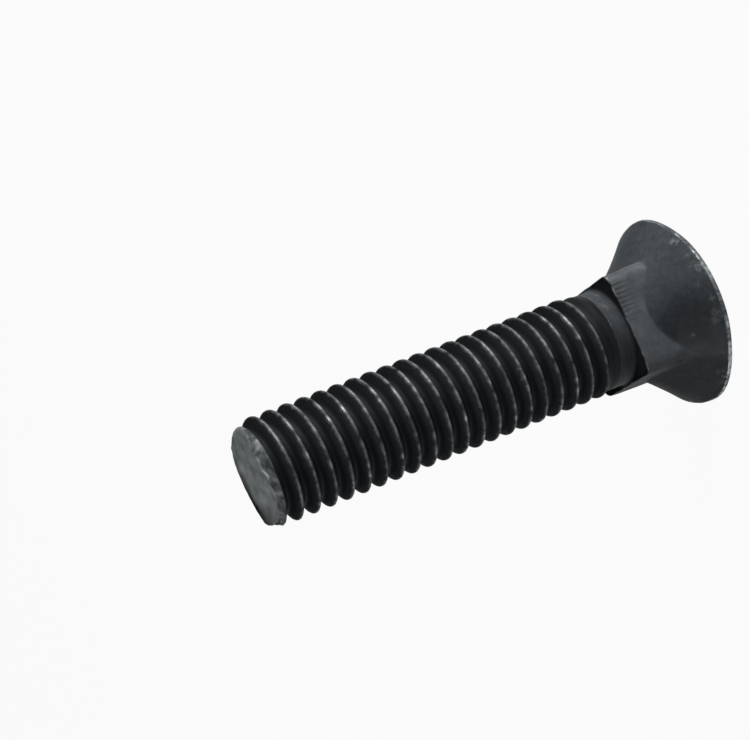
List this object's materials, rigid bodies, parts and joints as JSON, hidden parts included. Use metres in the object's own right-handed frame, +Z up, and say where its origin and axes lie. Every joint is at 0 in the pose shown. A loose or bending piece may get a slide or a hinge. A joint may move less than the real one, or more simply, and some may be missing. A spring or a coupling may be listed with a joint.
{
  "type": "plow bolt",
  "caption": "Plow bolt in black-oxide steel: flat countersunk head, square neck, short plain shank and a coarse right-hand thread to a bevelled end.",
  "frame": {"origin": "centre of the flat face of the head, which the bolt stands on", "axes": "+Z up along the shank to the threaded end; +X and +Y square to the flats of the neck"},
  "size_m": [0.0175, 0.0174, 0.0428],
  "materials": {
    "black_oxide_steel": "matt black oxide on forged steel, worn bright along the thread crests and the rim"
  },
  "bodies": {
    "root": {"plow_bolt": "black_oxide_steel"}
  },
  "joints": []
}
